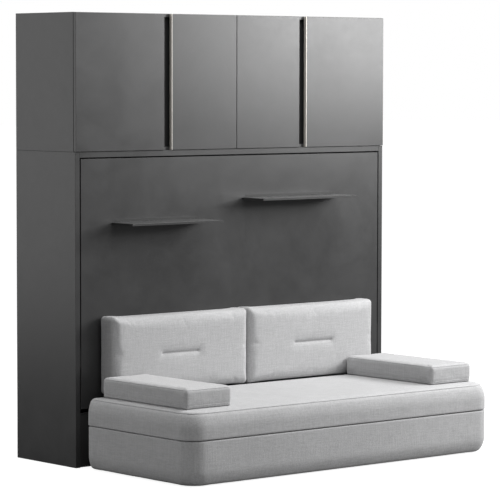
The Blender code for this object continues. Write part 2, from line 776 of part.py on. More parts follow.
def make_bed():
    bed_axis = axis_empty("bed_axis", PIVOT)
    panel = board(
        "bed_front_panel", (-PANEL_HALF, PANEL_HALF), (FRONT_Y, PANEL_BACK),
        (PANEL_BOTTOM, PANEL_TOP), ANTHRACITE,
    )
    rail_y = (PANEL_BACK + FIT_GAP, PANEL_BACK + FIT_GAP + RAIL_DEPTH)
    outer_half = FRAME_HALF + RAIL_THICKNESS
    low = FRAME_BOTTOM - RAIL_THICKNESS
    high = FRAME_TOP + RAIL_THICKNESS
    between = (-FRAME_HALF + FIT_GAP, FRAME_HALF - FIT_GAP)
    pieces = [
        panel,
        board("bed_rail_lower", between, rail_y, (low, FRAME_BOTTOM), ANTHRACITE),
        board("bed_rail_upper", between, rail_y, (FRAME_TOP, high), ANTHRACITE),
        make_slats(),
        pillow(
            "mattress", (-MATTRESS_LENGTH / 2, MATTRESS_LENGTH / 2),
            (MATTRESS_FRONT, MATTRESS_FRONT + MATTRESS_THICKNESS),
            (MATTRESS_BOTTOM, MATTRESS_BOTTOM + MATTRESS_WIDTH), MATTRESS_ROUND, MATTRESS_CLOTH,
        ),
    ]
    leg_pivot_z = PANEL_TOP - LEG_PIVOT_DROP
    for side, sign in SIDES.items():
        rail = board(
            f"bed_rail_{side}", sorted((sign * FRAME_HALF, sign * outer_half)), rail_y,
            (low, high), ANTHRACITE,
        )
        hole = cylinder_x(
            f"leg_hole_{side}",
            (sign * (outer_half - LEG_AXLE_DEPTH - FIT_GAP), sign * (outer_half + CUT_MARGIN)),
            FRONT_Y + LEG_PIVOT_Y, leg_pivot_z, LEG_AXLE + PIN_CLEARANCE,
        )
        cut(rail, hole, "leg_hole")
        pieces += [rail, hole, make_strap(side, sign)]
    hang(bed_axis, *pieces)
    for side, sign in SIDES.items():
        make_mechanism(side, sign, bed_axis)
        make_leg(side, sign, bed_axis)
        make_shelf(side, SHELVES[side], bed_axis)
    make_back_cushions(bed_axis)


# ------------------------------------------------------------- sofa
def make_back_cushions(bed_axis):
    y = (
        FRONT_Y - BACK_OFF_PANEL - BACK_THICKNESS,
        FRONT_Y - BACK_OFF_PANEL,
    )
    bottom = SEAT_TOP + BACK_CLEARANCE
    z = (bottom, bottom + BACK_HEIGHT)
    for side, sign in SIDES.items():
        near = BACK_OFFSET + sign * BACK_SPACING / 2
        far = near + sign * BACK_WIDTH
        cushion = pillow(
            f"back_cushion_{side}", sorted((near, far)), y, z, BACK_ROUND, GREY_LINEN
        )
        hang(bed_axis, cushion)


def make_sofa():
    x = (SOFA_LEFT, SOFA_RIGHT)
    y = (SOFA_FRONT, SOFA_BACK)
    soft_slab(
        "sofa_base", x, y, (0, BASE_HEIGHT), BASE_FOOT_ROUND, BASE_TOP_ROUND, GREY_LINEN
    )
    soft_slab(
        "seat_cushion", x, y, (BASE_HEIGHT + SEAT_GAP, SEAT_TOP), SEAT_FOOT_ROUND,
        SEAT_TOP_ROUND, GREY_LINEN,
    )
    ends = {"left": SOFA_LEFT, "right": SOFA_RIGHT}
    bottom = SEAT_TOP + ARM_CLEARANCE
    for side, sign in SIDES.items():
        outer = ends[side] - sign * ARMS[side]["from_end"]
        inner = outer - sign * ARM_WIDTH
        front = SOFA_FRONT + ARMS[side]["from_front"]
        arm = pillow(
            f"arm_cushion_{side}", sorted((outer, inner)), (front, front + ARM_LENGTH),
            (bottom, bottom + ARM_THICKNESS), ARM_ROUND, GREY_LINEN,
        )
        centre = Vector(arm.location)
        hang(axis_empty(f"arm_{side}_slide", centre), arm)


make_lower_cabinet()
make_upper_cabinet()
make_doors()
make_bed()
make_sofa()
bpy.context.view_layer.update()
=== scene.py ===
# %% [markdown]
# # A horizontal wall bed, its overhead cabinet and its sofa
#
# The engineering model already holds every board, pin, strut and door at its real size.
# This lesson dresses it: each hard piece gets a finish that behaves like the real one, and
# each soft piece is sewn anew, because a cushion is a skin pulled over foam and not a block.
# The model is loaded first, and nothing below ever moves or reshapes what came with it.

# %% Load the fixed model
import math

import bmesh
import bpy
import numpy as np
from mathutils import Matrix, Vector


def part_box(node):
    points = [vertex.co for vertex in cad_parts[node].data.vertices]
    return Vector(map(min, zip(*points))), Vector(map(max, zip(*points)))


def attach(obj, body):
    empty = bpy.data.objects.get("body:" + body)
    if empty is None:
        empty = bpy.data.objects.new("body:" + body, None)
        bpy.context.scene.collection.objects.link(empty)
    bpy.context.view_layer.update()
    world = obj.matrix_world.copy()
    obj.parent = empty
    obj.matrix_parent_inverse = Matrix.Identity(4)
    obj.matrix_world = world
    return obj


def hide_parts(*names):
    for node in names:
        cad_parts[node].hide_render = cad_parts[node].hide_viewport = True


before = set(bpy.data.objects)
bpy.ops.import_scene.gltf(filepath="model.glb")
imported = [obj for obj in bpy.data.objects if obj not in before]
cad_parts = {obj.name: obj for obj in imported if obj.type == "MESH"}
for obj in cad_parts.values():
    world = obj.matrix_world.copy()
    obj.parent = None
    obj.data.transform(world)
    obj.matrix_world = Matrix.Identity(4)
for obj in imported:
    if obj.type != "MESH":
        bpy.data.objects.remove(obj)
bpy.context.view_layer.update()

MM = 0.001
SIDES = {"left": -1, "right": 1}

# %% [markdown]
# ## Camera
#
# A long lens far away keeps upright edges almost parallel, as in a catalogue picture.
# The camera looks from the left front, a little above the seat, and is rolled by a hair.

# %% Place the camera
CAMERA_PLACE = Vector((-9.514, -11.132, 2.067))
CAMERA_TURN = math.radians(40.287)
CAMERA_DIP = math.radians(3.700)
CAMERA_ROLL = math.radians(0.0855)
LENS_MM = 193.8

scene = bpy.context.scene
camera_data = bpy.data.cameras.new("catalogue_camera")
camera_data.lens = LENS_MM
camera_data.clip_end = 200
camera = bpy.data.objects.new("catalogue_camera", camera_data)
scene.collection.objects.link(camera)
camera.matrix_world = (
    Matrix.Translation(CAMERA_PLACE)
    @ Matrix.Rotation(-CAMERA_TURN, 4, "Z")
    @ Matrix.Rotation(math.pi / 2 - CAMERA_DIP, 4, "X")
    @ Matrix.Rotation(CAMERA_ROLL, 4, "Z")
)
scene.camera = camera

# %% [markdown]
# ## Studio
#
# Satin lacquer shows the lamps that it mirrors, so the lamps shape the doors. A tall soft
# box stands far to the right in front, where the doors mirror it more and more towards
# their right-hand top corner. A second one overhead lights the seat. The room itself gives
# a low even light, and the lens sees it as plain white.

# %% Room light, floor and soft boxes
scene.view_settings.view_transform = "Standard"
ROOM_LEVEL = 0.39
FLOOR_GLOW = 0.90
FLOOR_SIZE = 160.0


def shade_for_lens(tree, seen, lit, output):
    """What the lens sees directly is one shader, and what lights the object is another."""
    ray = tree.nodes.new("ShaderNodeLightPath")
    mix = tree.nodes.new("ShaderNodeMixShader")
    tree.links.new(ray.outputs["Is Camera Ray"], mix.inputs[0])
    tree.links.new(lit.outputs[0], mix.inputs[1])
    tree.links.new(seen.outputs[0], mix.inputs[2])
    tree.links.new(mix.outputs[0], output.inputs["Surface"])


def make_room():
    room = bpy.data.worlds.new("white_room")
    room.use_nodes = True
    tree = room.node_tree
    lit = tree.nodes["Background"]
    lit.inputs["Color"].default_value = (ROOM_LEVEL, ROOM_LEVEL, ROOM_LEVEL, 1)
    seen = tree.nodes.new("ShaderNodeBackground")
    seen.inputs["Color"].default_value = (1, 1, 1, 1)
    shade_for_lens(tree, seen, lit, tree.nodes["World Output"])
    scene.world = room


def make_floor():
    bpy.ops.object.select_all(action="DESELECT")
    bpy.ops.mesh.primitive_plane_add(size=FLOOR_SIZE, location=(0, 0, -0.5 * MM))
    floor = bpy.context.object
    floor.name = "studio_floor"
    paint = bpy.data.materials.new("pale_floor")
    paint.use_nodes = True
    tree = paint.node_tree
    lit = tree.nodes["Principled BSDF"]
    lit.inputs["Base Color"].default_value = (0.22, 0.22, 0.22, 1)
    lit.inputs["Roughness"].default_value = 0.9
    lit.inputs["Specular IOR Level"].default_value = 0.0
    pale = tree.nodes.new("ShaderNodeBsdfDiffuse")
    pale.inputs["Color"].default_value = (0.34, 0.34, 0.34, 1)
    glow = tree.nodes.new("ShaderNodeEmission")
    glow.inputs["Strength"].default_value = FLOOR_GLOW
    seen = tree.nodes.new("ShaderNodeAddShader")
    tree.links.new(pale.outputs[0], seen.inputs[0])
    tree.links.new(glow.outputs[0], seen.inputs[1])
    shade_for_lens(tree, seen, lit, tree.nodes["Material Output"])
    floor.data.materials.append(paint)


def soft_box(name, place, target, width, height, watts):
    lamp = bpy.data.lights.new(name, "AREA")
    lamp.shape = "RECTANGLE"
    lamp.size = width
    lamp.size_y = height
    lamp.energy = watts
    box = bpy.data.objects.new(name, lamp)
    scene.collection.objects.link(box)
    box.location = place
    aim = (Vector(target) - Vector(place)).to_track_quat("-Z", "Y")
    box.rotation_euler = aim.to_euler()
    return box


make_room()
make_floor()
soft_box("key_soft_box", (3.45, -2.3, 2.98), (0.5, 0.2, 1.5), 2.4, 2.2, 250)
soft_box("overhead_soft_box", (0.3, -1.2, 5.0), (0.1, -0.3, 0.4), 3.6, 2.6, 165)
soft_box("side_soft_box", (-3.7, 3.4, 2.35), (-1.1, 0.5, 1.2), 3.0, 4.4, 54)

# %% [markdown]
# ## Finishes
#
# A finish is a small chain of nodes. Its pattern is measured in metres in the piece's own
# space, so that a thread is as wide on an arm cushion as on the seat. Effects that several
# finishes share, such as edges made lighter by wear and by a painted highlight, or a weave,
# are made once as node groups that put out only masks and heights. Each finish then feeds
# those into its own shader.

# %% Helpers that make node trees short to write
def add_node(tree, kind, operation=None, **values):
    """Adds one node. Values fill its inputs, by name or as in_0, in_1 for its order."""
    made = tree.nodes.new("ShaderNode" + kind)
    if operation:
        made.operation = operation
    for name, value in values.items():
        key = int(name[3:]) if name.startswith("in_") else name.replace("_", " ")
        made.inputs[key].default_value = value
    return made


def wire(tree, source, target, key, output=0):
    """Joins an output of source to the named or numbered input of target."""
    socket = source if isinstance(source, bpy.types.NodeSocket) else source.outputs[output]
    tree.links.new(socket, target.inputs[key])
    return target


def new_group(name, inputs, outputs):
    """An empty node group. Inputs are name: value, and outputs are plain numbers."""
    tree = bpy.data.node_groups.new(name, "ShaderNodeTree")
    for label, value in inputs.items():
        kind = "NodeSocketVector" if label == "Vector" else "NodeSocketFloat"
        socket = tree.interface.new_socket(label, in_out="INPUT", socket_type=kind)
        if kind == "NodeSocketFloat":
            socket.default_value = value
    for label in outputs:
        tree.interface.new_socket(label, in_out="OUTPUT", socket_type="NodeSocketFloat")
    start = tree.nodes.new("NodeGroupInput")
    end = tree.nodes.new("NodeGroupOutput")
    return tree, start, end


def stretched_noise(tree, vector, stretch, detail=3.0, roughness=0.55):
    """Noise drawn out along an axis: stretch is how many features lie in a metre each way."""
    scaled = add_node(tree, "VectorMath", "MULTIPLY", in_1=stretch)
    wire(tree, vector, scaled, 0)
    noise = add_node(tree, "TexNoise", Scale=1.0, Detail=detail, Roughness=roughness)
    return wire(tree, scaled, noise, "Vector")


def spread(tree, source, low, high, to_low=0.0, to_high=1.0, output=0):
    """Stretches the values from low..high to to_low..to_high and holds them there."""
    node = add_node(tree, "MapRange", in_1=low, in_2=high, in_3=to_low, in_4=to_high)
    return wire(tree, source, node, 0, output)


def math_of(tree, operation, first, second):
    node = add_node(tree, "Math", operation)
    for key, value in enumerate((first, second)):
        if isinstance(value, (int, float)):
            node.inputs[key].default_value = value
        else:
            wire(tree, value, node, key)
    return node


print("helpers ready")

# %% [markdown]
# ### Shared effects
#
# Linen is woven from threads that thicken here and there. Those slubs are noise drawn out
# along each axis, and a fine grid of sines between them stands for the threads. An edge
# is found by the bevel node: where the rounded normal leaves the flat one, there is an
# edge. The finishes make it lighter, as wear and as a painted highlight where light catches
# the rounded edge. Lacquer on board is never quite even, so it gets slow clouds and small
# smudges.

# %% The weave, the edge with wear and painted highlight, the mottled lacquer and the drawn grain
def build_weave():
    tree, start, end = new_group(
        "woven_cloth", {"Vector": None, "Thread": 2.4 * MM, "Slub": 0.7}, ["Tone", "Height"]
    )
    vector = start.outputs["Vector"]
    runs = [(13, 150, 150), (150, 13, 150), (150, 150, 13)]
    streaks = [stretched_noise(tree, vector, run) for run in runs]
    total = math_of(tree, "ADD", streaks[0], streaks[1])
    total = math_of(tree, "ADD", total, streaks[2])
    slubs = spread(tree, total, 1.22, 1.78)
    pitch = math_of(tree, "DIVIDE", 2 * math.pi, start.outputs["Thread"])
    scaled = add_node(tree, "VectorMath", "SCALE")
    wire(tree, vector, scaled, 0)
    wire(tree, pitch, scaled, "Scale")
    axes = wire(tree, scaled, add_node(tree, "SeparateXYZ"), 0)
    waves = []
    for axis in range(3):
        wave = add_node(tree, "Math", "SINE")
        wire(tree, axes, wave, 0, axis)
        waves.append(wave)
    crossed = [math_of(tree, "MULTIPLY", waves[a], waves[b]) for a, b in ((0, 1), (1, 2), (2, 0))]
    threads = math_of(tree, "ADD", crossed[0], crossed[1])
    threads = math_of(tree, "ADD", threads, crossed[2])
    threads = spread(tree, threads, -1.0, 1.0)
    slub_part = math_of(tree, "MULTIPLY", slubs, start.outputs["Slub"])
    rest = math_of(tree, "SUBTRACT", 1.0, start.outputs["Slub"])
    thread_part = math_of(tree, "MULTIPLY", threads, rest)
    wire(tree, slubs, end, "Tone")
    wire(tree, math_of(tree, "ADD", slub_part, thread_part), end, "Height")
    return tree


def build_edge_wear_and_highlight():
    # The edge mask marks edges for wear and for a painted highlight where light would catch them.
    tree, start, end = new_group("edge_wear_and_highlight", {"Radius": 2 * MM}, ["Edge"])
    bevel = add_node(tree, "Bevel")
    bevel.samples = 6
    wire(tree, start.outputs["Radius"], bevel, "Radius")
    flat = tree.nodes.new("ShaderNodeNewGeometry")
    agree = add_node(tree, "VectorMath", "DOT_PRODUCT")
    wire(tree, bevel, agree, 0)
    wire(tree, flat.outputs["True Normal"], agree, 1)
    mask = spread(tree, agree.outputs["Value"], 0.995, 0.90)
    wire(tree, mask, end, "Edge")
    return tree


def build_mottle():
    tree, start, end = new_group(
        "uneven_lacquer", {"Vector": None, "Cloud": 4.0, "Smudge": 26.0}, ["Cloud", "Smudge"]
    )
    for label, detail in (("Cloud", 4.0), ("Smudge", 6.0)):
        noise = add_node(tree, "TexNoise", Detail=detail, Roughness=0.62, Distortion=0.6)
        wire(tree, start.outputs["Vector"], noise, "Vector")
        wire(tree, start.outputs[label], noise, "Scale")
        wire(tree, spread(tree, noise, 0.34, 0.66), end, label)
    return tree


def build_grain():
    tree, start, end = new_group(
        "drawn_grain", {"Vector": None, "Along": 3.0, "Across": 90.0}, ["Tone", "Height"]
    )
    stretch = add_node(tree, "CombineXYZ")
    wire(tree, start.outputs["Across"], stretch, 0)
    wire(tree, start.outputs["Across"], stretch, 1)
    wire(tree, start.outputs["Along"], stretch, 2)
    scaled = add_node(tree, "VectorMath", "MULTIPLY")
    wire(tree, start.outputs["Vector"], scaled, 0)
    wire(tree, stretch, scaled, 1)
    broad = add_node(tree, "TexNoise", Scale=1.0, Detail=5.0, Roughness=0.6, Distortion=0.35)
    fine = add_node(tree, "TexNoise", Scale=4.0, Detail=2.0)
    for noise in (broad, fine):
        wire(tree, scaled, noise, "Vector")
    wire(tree, spread(tree, broad, 0.3, 0.7), end, "Tone")
    wire(tree, spread(tree, fine, 0.35, 0.65), end, "Height")
    return tree


GROUPS = {
    "weave": build_weave(),
    "edge": build_edge_wear_and_highlight(),
    "mottle": build_mottle(),
    "grain": build_grain(),
}
print("shared effects:", [tree.name for tree in GROUPS.values()])

# %% [markdown]
# ### The finishes themselves
#
# The lacquer is nearly black with a satin top coat: low colour, middling roughness. The
# handle strips are brushed champagne metal, the steel is powder coated or ground, the slats
# are birch, and the sofa wears pale grey linen whose fibres catch light at their edges.

# %% Start a finish, place an effect, mix two colours
def start_finish(name, roughness, metallic=0.0, **sockets):
    finish = bpy.data.materials.new(name)
    finish.use_nodes = True
    tree = finish.node_tree
    shader = tree.nodes["Principled BSDF"]
    shader.inputs["Roughness"].default_value = roughness
    shader.inputs["Metallic"].default_value = metallic
    for label, value in sockets.items():
        shader.inputs[label.replace("_", " ")].default_value = value
    place = tree.nodes.new("ShaderNodeTexCoord").outputs["Object"]
    return finish, tree, shader, place


def effect(tree, name, vector=None, **values):
    node = tree.nodes.new("ShaderNodeGroup")
    node.node_tree = GROUPS[name]
    for label, value in values.items():
        node.inputs[label].default_value = value
    if vector is not None:
        wire(tree, vector, node, "Vector")
    return node


def tint(tree, mask, dark, light):
    """A colour between dark and light, by a mask from 0 to 1."""
    mix = tree.nodes.new("ShaderNodeMix")
    mix.data_type = "RGBA"
    for socket, value in ((mix.inputs[6], dark), (mix.inputs[7], light)):
        if isinstance(value, tuple):
            socket.default_value = (*value, 1)
        else:
            tree.links.new(value, socket)
    tree.links.new(mask, mix.inputs[0])
    return mix.outputs[2]


def bump(tree, shader, height, distance, strength=1.0):
    node = add_node(tree, "Bump", Strength=strength, Distance=distance)
    wire(tree, height, node, "Height")
    tree.links.new(node.outputs[0], shader.inputs["Normal"])


def grey(level):
    return (level, level, level * 1.01)


print("finish helpers ready")

# %% Satin lacquer and the dark boards inside
def make_lacquer():
    finish, tree, shader, place = start_finish("satin_anthracite_lacquer", 0.34)
    mottle = effect(tree, "mottle", place)
    edge = effect(tree, "edge", Radius=1.6 * MM)
    body = tint(tree, mottle.outputs["Cloud"], grey(0.034), grey(0.041))
    # The edges go lighter grey: partly wear, partly a painted highlight where light catches the
    # bevel.
    wear_and_highlight = math_of(tree, "MULTIPLY", edge.outputs["Edge"], 0.5).outputs[0]
    tree.links.new(tint(tree, wear_and_highlight, body, grey(0.12)), shader.inputs["Base Color"])
    both = math_of(tree, "ADD", mottle.outputs["Cloud"], mottle.outputs["Smudge"])
    rough = spread(tree, both, 0.0, 2.0, 0.31, 0.38)
    wire(tree, rough, shader, "Roughness")
    skin = add_node(tree, "TexNoise", Scale=420.0, Detail=2.0)
    wire(tree, place, skin, "Vector")
    bump(tree, shader, skin.outputs[0], 0.04 * MM, 0.5)
    return finish


def make_inside_board():
    finish, tree, shader, place = start_finish("dark_melamine_board", 0.55)
    grain = effect(tree, "grain", place, Along=6.0, Across=160.0)
    colour = tint(tree, grain.outputs["Tone"], grey(0.014), grey(0.026))
    tree.links.new(colour, shader.inputs["Base Color"])
    rough = spread(tree, grain.outputs["Tone"], 0.0, 1.0, 0.62, 0.50)
    wire(tree, rough, shader, "Roughness")
    bump(tree, shader, grain.outputs["Height"], 0.12 * MM, 0.5)
    return finish


def make_birch():
    finish, tree, shader, place = start_finish("lacquered_birch", 0.42, Coat_Weight=0.15)
    grain = effect(tree, "grain", place, Along=2.5, Across=70.0)
    colour = tint(tree, grain.outputs["Tone"], (0.40, 0.25, 0.12), (0.64, 0.47, 0.28))
    tree.links.new(colour, shader.inputs["Base Color"])
    rough = spread(tree, grain.outputs["Height"], 0.0, 1.0, 0.36, 0.52)
    wire(tree, rough, shader, "Roughness")
    bump(tree, shader, grain.outputs["Height"], 0.15 * MM, 0.5)
    return finish


lacquer = make_lacquer()
inside_board = make_inside_board()
birch = make_birch()
print("boards:", lacquer.name, inside_board.name, birch.name)

# %% Champagne aluminium, powder-coated steel and ground steel
ANODISED = 0.4
BARE = 1.0


def make_metal(name, dark, light, rough, along, across, edge_tone, metallic):
    finish, tree, shader, place = start_finish(name, sum(rough) / 2, metallic)
    grain = effect(tree, "grain", place, Along=along, Across=across)
    edge = effect(tree, "edge", Radius=0.8 * MM)
    body = tint(tree, grain.outputs["Tone"], dark, light)
    tree.links.new(tint(tree, edge.outputs["Edge"], body, edge_tone), shader.inputs["Base Color"])
    wire(tree, spread(tree, grain.outputs["Height"], 0, 1, *rough), shader, "Roughness")
    bump(tree, shader, grain.outputs["Height"], 0.03 * MM, 0.4)
    return finish


def make_powder_coat():
    finish, tree, shader, place = start_finish("black_powder_coat", 0.5)
    pebble = add_node(tree, "TexNoise", Scale=900.0, Detail=2.0)
    wire(tree, place, pebble, "Vector")
    edge = effect(tree, "edge", Radius=0.8 * MM)
    wear_and_highlight = math_of(tree, "MULTIPLY", edge.outputs["Edge"], 0.6).outputs[0]
    body = tint(tree, pebble.outputs[0], grey(0.010), grey(0.022))
    tree.links.new(tint(tree, wear_and_highlight, body, grey(0.16)), shader.inputs["Base Color"])
    wire(tree, spread(tree, pebble, 0.3, 0.7, 0.42, 0.60), shader, "Roughness")
    bump(tree, shader, pebble.outputs[0], 0.08 * MM, 0.6)
    return finish


champagne = make_metal(
    "brushed_champagne", (0.80, 0.76, 0.69), (0.90, 0.86, 0.79), (0.42, 0.55), 8, 900,
    (0.94, 0.91, 0.86), ANODISED,
)
ground_steel = make_metal(
    "ground_steel", (0.42, 0.42, 0.43), (0.62, 0.62, 0.63), (0.18, 0.34), 40, 500,
    (0.8, 0.8, 0.8), BARE,
)
powder_coat = make_powder_coat()
print("metals:", champagne.name, ground_steel.name, powder_coat.name)

# %% Linen, mattress ticking and webbing
def make_linen():
    finish, tree, shader, place = start_finish(
        "pale_grey_linen", 0.92, Sheen_Weight=0.22, Sheen_Roughness=0.45, Specular_IOR_Level=0.25
    )
    weave = effect(tree, "weave", place)
    fleck = add_node(tree, "TexNoise", Scale=620.0, Detail=1.0)
    wire(tree, place, fleck, "Vector")
    cloud = add_node(tree, "TexNoise", Scale=5.0, Detail=2.0)
    wire(tree, place, cloud, "Vector")
    body = tint(tree, weave.outputs["Tone"], grey(0.365), grey(0.455))
    specks = spread(tree, fleck, 0.30, 0.70, 0.0, 0.22).outputs[0]
    flecked = tint(tree, specks, body, grey(0.62))
    shade = spread(tree, cloud, 0.35, 0.65, 0.0, 0.10).outputs[0]
    tree.links.new(tint(tree, shade, flecked, grey(0.28)), shader.inputs["Base Color"])
    wire(tree, spread(tree, weave.outputs["Tone"], 0, 1, 0.96, 0.84), shader, "Roughness")
    bump(tree, shader, weave.outputs["Height"], 0.9 * MM, 0.55)
    return finish


def make_ticking():
    finish, tree, shader, place = start_finish(
        "mattress_ticking", 0.9, Sheen_Weight=0.2, Sheen_Roughness=0.5
    )
    weave = effect(tree, "weave", place, Thread=3.2 * MM, Slub=0.35)
    colour = tint(tree, weave.outputs["Tone"], (0.50, 0.49, 0.46), (0.62, 0.61, 0.58))
    tree.links.new(colour, shader.inputs["Base Color"])
    wire(tree, spread(tree, weave.outputs["Tone"], 0, 1, 0.95, 0.85), shader, "Roughness")
    bump(tree, shader, weave.outputs["Height"], 0.6 * MM, 0.5)
    return finish


def make_webbing():
    finish, tree, shader, place = start_finish("black_webbing", 0.8)
    axes = wire(tree, place, add_node(tree, "SeparateXYZ"), 0)
    ribs = []
    for axis, pitch in ((0, 2.0 * MM), (1, 3.0 * MM), (2, 3.0 * MM)):
        turned = math_of(tree, "MULTIPLY", axes.outputs[axis], 2 * math.pi / pitch)
        ribs.append(wire(tree, turned, add_node(tree, "Math", "SINE"), 0))
    rows = math_of(tree, "ADD", ribs[1], ribs[2])
    woven = spread(tree, math_of(tree, "MULTIPLY", rows, ribs[0]), -1.0, 1.0)
    colour = tint(tree, woven.outputs[0], grey(0.012), grey(0.040))
    tree.links.new(colour, shader.inputs["Base Color"])
    wire(tree, spread(tree, woven, 0, 1, 0.9, 0.72), shader, "Roughness")
    bump(tree, shader, woven.outputs[0], 0.4 * MM, 0.7)
    return finish


linen = make_linen()
ticking = make_ticking()
webbing = make_webbing()
print("cloths:", linen.name, ticking.name, webbing.name)

# %% Give every hard piece its finish
FINISHES = {
    "anthracite_lacquer": lacquer,
    "dark_board": inside_board,
    "champagne_aluminium": champagne,
    "black_steel": powder_coat,
    "bright_steel": ground_steel,
    "sofa_fabric": linen,
    "mattress_cloth": ticking,
    "birch": birch,
    "webbing": webbing,
}
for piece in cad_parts.values():
    for index, old in enumerate(piece.data.materials):
        piece.data.materials[index] = FINISHES[old.name.split(".")[0]]
print("finished", len(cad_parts), "pieces of the model")

# %% [markdown]
# ## Soft pieces
#
# A cushion is foam in a sewn cover. The foam pushes out, the cover holds it back most along
# its seams, so faces crown and edges stay low. Each one starts as a block a little smaller
# than the space that it fills. Its edges are rounded by bevels, it is remeshed into even
# little squares, and a cloth simulation blows it up. How far a point may travel is capped,
# so the cushion fills its space and no more. Seams come last, on the finished skin.

# %% Add a block, pick edges and round them
def add_block(name, low, high):
    """A box between two corners, with its origin at the world's own."""
    bpy.ops.object.select_all(action="DESELECT")
    bpy.ops.mesh.primitive_cube_add(size=1, location=(Vector(low) + Vector(high)) / 2)
    block = bpy.context.object
    block.name = name
    block.scale = Vector(high) - Vector(low)
    bpy.ops.object.transform_apply(location=True, rotation=True, scale=True)
    return block


def pick(kind, wanted):
    """In edit mode, selects the faces, edges or vertices that a test accepts."""
    bpy.ops.mesh.select_mode(type=kind)
    bpy.ops.mesh.select_all(action="DESELECT")
    form = bmesh.from_edit_mesh(bpy.context.object.data)
    form.normal_update()
    parts = {"VERT": form.verts, "EDGE": form.edges, "FACE": form.faces}[kind]
    for part in parts:
        if wanted(part):
            part.select_set(True)
    form.select_flush_mode()
    bmesh.update_edit_mesh(bpy.context.object.data)


def upright(edge):
    first, second = edge.verts
    across = (first.co - second.co).to_2d().length
    return across < 1e-5


def level_at(height):
    """A test for edges that lie at one height."""
    return lambda edge: all(abs(v.co.z - height) < 1e-5 for v in edge.verts)


def runs_deep(edge):
    return abs((edge.verts[0].co - edge.verts[1].co).normalized().y) > 0.99


def lies_at_depth(y):
    """A test for edges that lie at one depth."""
    return lambda edge: all(abs(v.co.y - y) < 1e-5 for v in edge.verts)


def round_edges(wanted, radius, segments):
    pick("EDGE", wanted)
    bpy.ops.mesh.bevel(offset=radius, segments=segments, affect="EDGES", profile=0.5)


def round_all(piece, rounds):
    """Each round is a test for edges, a radius and a number of segments."""
    bpy.ops.object.mode_set(mode="EDIT")
    for wanted, radius, segments in rounds:
        round_edges(wanted, radius, segments)
    bpy.ops.object.mode_set(mode="OBJECT")
    return piece


def sink_face(wanted, inset, move):
    """Insets the faces that a test accepts, then pushes them in."""
    bpy.ops.object.mode_set(mode="EDIT")
    pick("FACE", wanted)
    bpy.ops.mesh.inset(thickness=inset)
    bpy.ops.mesh.extrude_region_move(TRANSFORM_OT_translate={"value": move})
    bpy.ops.object.mode_set(mode="OBJECT")


print("block helpers ready")

# %% Turn a block into an even skin and blow it up
SWELL_FRAMES = 20
SWELL_PRESSURE = 4.0


def even_skin(piece, voxel):
    piece.data.remesh_voxel_size = voxel
    bpy.context.view_layer.objects.active = piece
    bpy.ops.object.voxel_remesh()


def skin_points(piece):
    points = np.empty(len(piece.data.vertices) * 3, np.float64)
    piece.data.vertices.foreach_get("co", points)
    return points.reshape(-1, 3)


def set_skin_points(piece, points):
    piece.data.vertices.foreach_set("co", points.astype(np.float32).ravel())
    piece.data.update()


def swell(piece, cap, pressure=SWELL_PRESSURE):
    """Foam pressure under a cloth skin, with no point moving further than the cap."""
    before = skin_points(piece)
    step = piece.modifiers.new("foam_pressure", "CLOTH")
    step.settings.use_pressure = True
    step.settings.uniform_pressure_force = pressure
    step.settings.quality = 5
    step.settings.effector_weights.gravity = 0
    step.point_cache.frame_start = 1
    step.point_cache.frame_end = SWELL_FRAMES
    for number in range(1, SWELL_FRAMES + 1):
        scene.frame_set(number)
    bpy.context.view_layer.objects.active = piece
    bpy.ops.object.modifier_apply(modifier=step.name)
    scene.frame_set(1)
    moved = skin_points(piece) - before
    lengths = np.linalg.norm(moved, axis=1, keepdims=True)
    moved *= np.minimum(1.0, cap / np.maximum(lengths, 1e-9))
    set_skin_points(piece, before + moved)


def smooth_skin(piece):
    """One subdivision for a fine surface, shaded smooth."""
    step = piece.modifiers.new("fine_skin", "SUBSURF")
    step.levels = 1
    step.render_levels = 1
    bpy.context.view_layer.objects.active = piece
    bpy.ops.object.modifier_apply(modifier=step.name)
    piece.data.shade_smooth()


def rest_flat(piece, axis, level, above):
    """The skin is flat where it rests: no point passes this level along the axis."""
    points = skin_points(piece)
    limit = np.maximum if above else np.minimum
    points[:, axis] = limit(points[:, axis], level)
    set_skin_points(piece, points)


def tighten_rim(piece, level, reach, share):
    """Presses a round rim flatter against the face that it meets at this height."""
    points = skin_points(piece)
    off = points[:, 2] - level
    far = 4 * reach
    new = np.interp(np.abs(off), [0, reach, far, 10], [0, reach * share, far, 10])
    points[:, 2] = level + np.sign(off) * new
    set_skin_points(piece, points)


def fill_space(piece, low, high):
    """Stretches the swollen skin by the few millimetres it lacks to fill its space."""
    points = skin_points(piece)
    start = points.min(axis=0)
    ratio = (np.array(high) - np.array(low)) / (points.max(axis=0) - start)
    set_skin_points(piece, (points - start) * ratio + np.array(low))


print("skin helpers ready")

# %% [markdown]
# ### Seams
#
# A boxed cushion has a piped seam where its panel meets its side band. The seam's path is
# cut from the finished skin with a plane, so that it fits wherever the foam has pushed.
# The path becomes a thin cord, and the skin beside it is drawn in by the stitches.

# %% Cut a seam's path, lay the piping and draw the skin in
PIPING = 2.6 * MM
PIPING_STEP = 14 * MM


def seam_path(piece, name, place, normal):
    """The line where a plane cuts the skin, as a mesh of edges only."""
    bpy.ops.object.select_all(action="DESELECT")
    path = piece.copy()
    path.data = piece.data.copy()
    path.name = name
    scene.collection.objects.link(path)
    path.select_set(True)
    bpy.context.view_layer.objects.active = path
    bpy.ops.object.mode_set(mode="EDIT")
    bpy.ops.mesh.select_all(action="SELECT")
    bpy.ops.mesh.bisect(plane_co=place, plane_no=normal, clear_inner=True, clear_outer=True)
    bpy.ops.mesh.select_all(action="SELECT")
    bpy.ops.mesh.delete(type="ONLY_FACE")
    bpy.ops.mesh.select_all(action="SELECT")
    bpy.ops.mesh.remove_doubles(threshold=PIPING_STEP)
    bpy.ops.object.mode_set(mode="OBJECT")
    return path


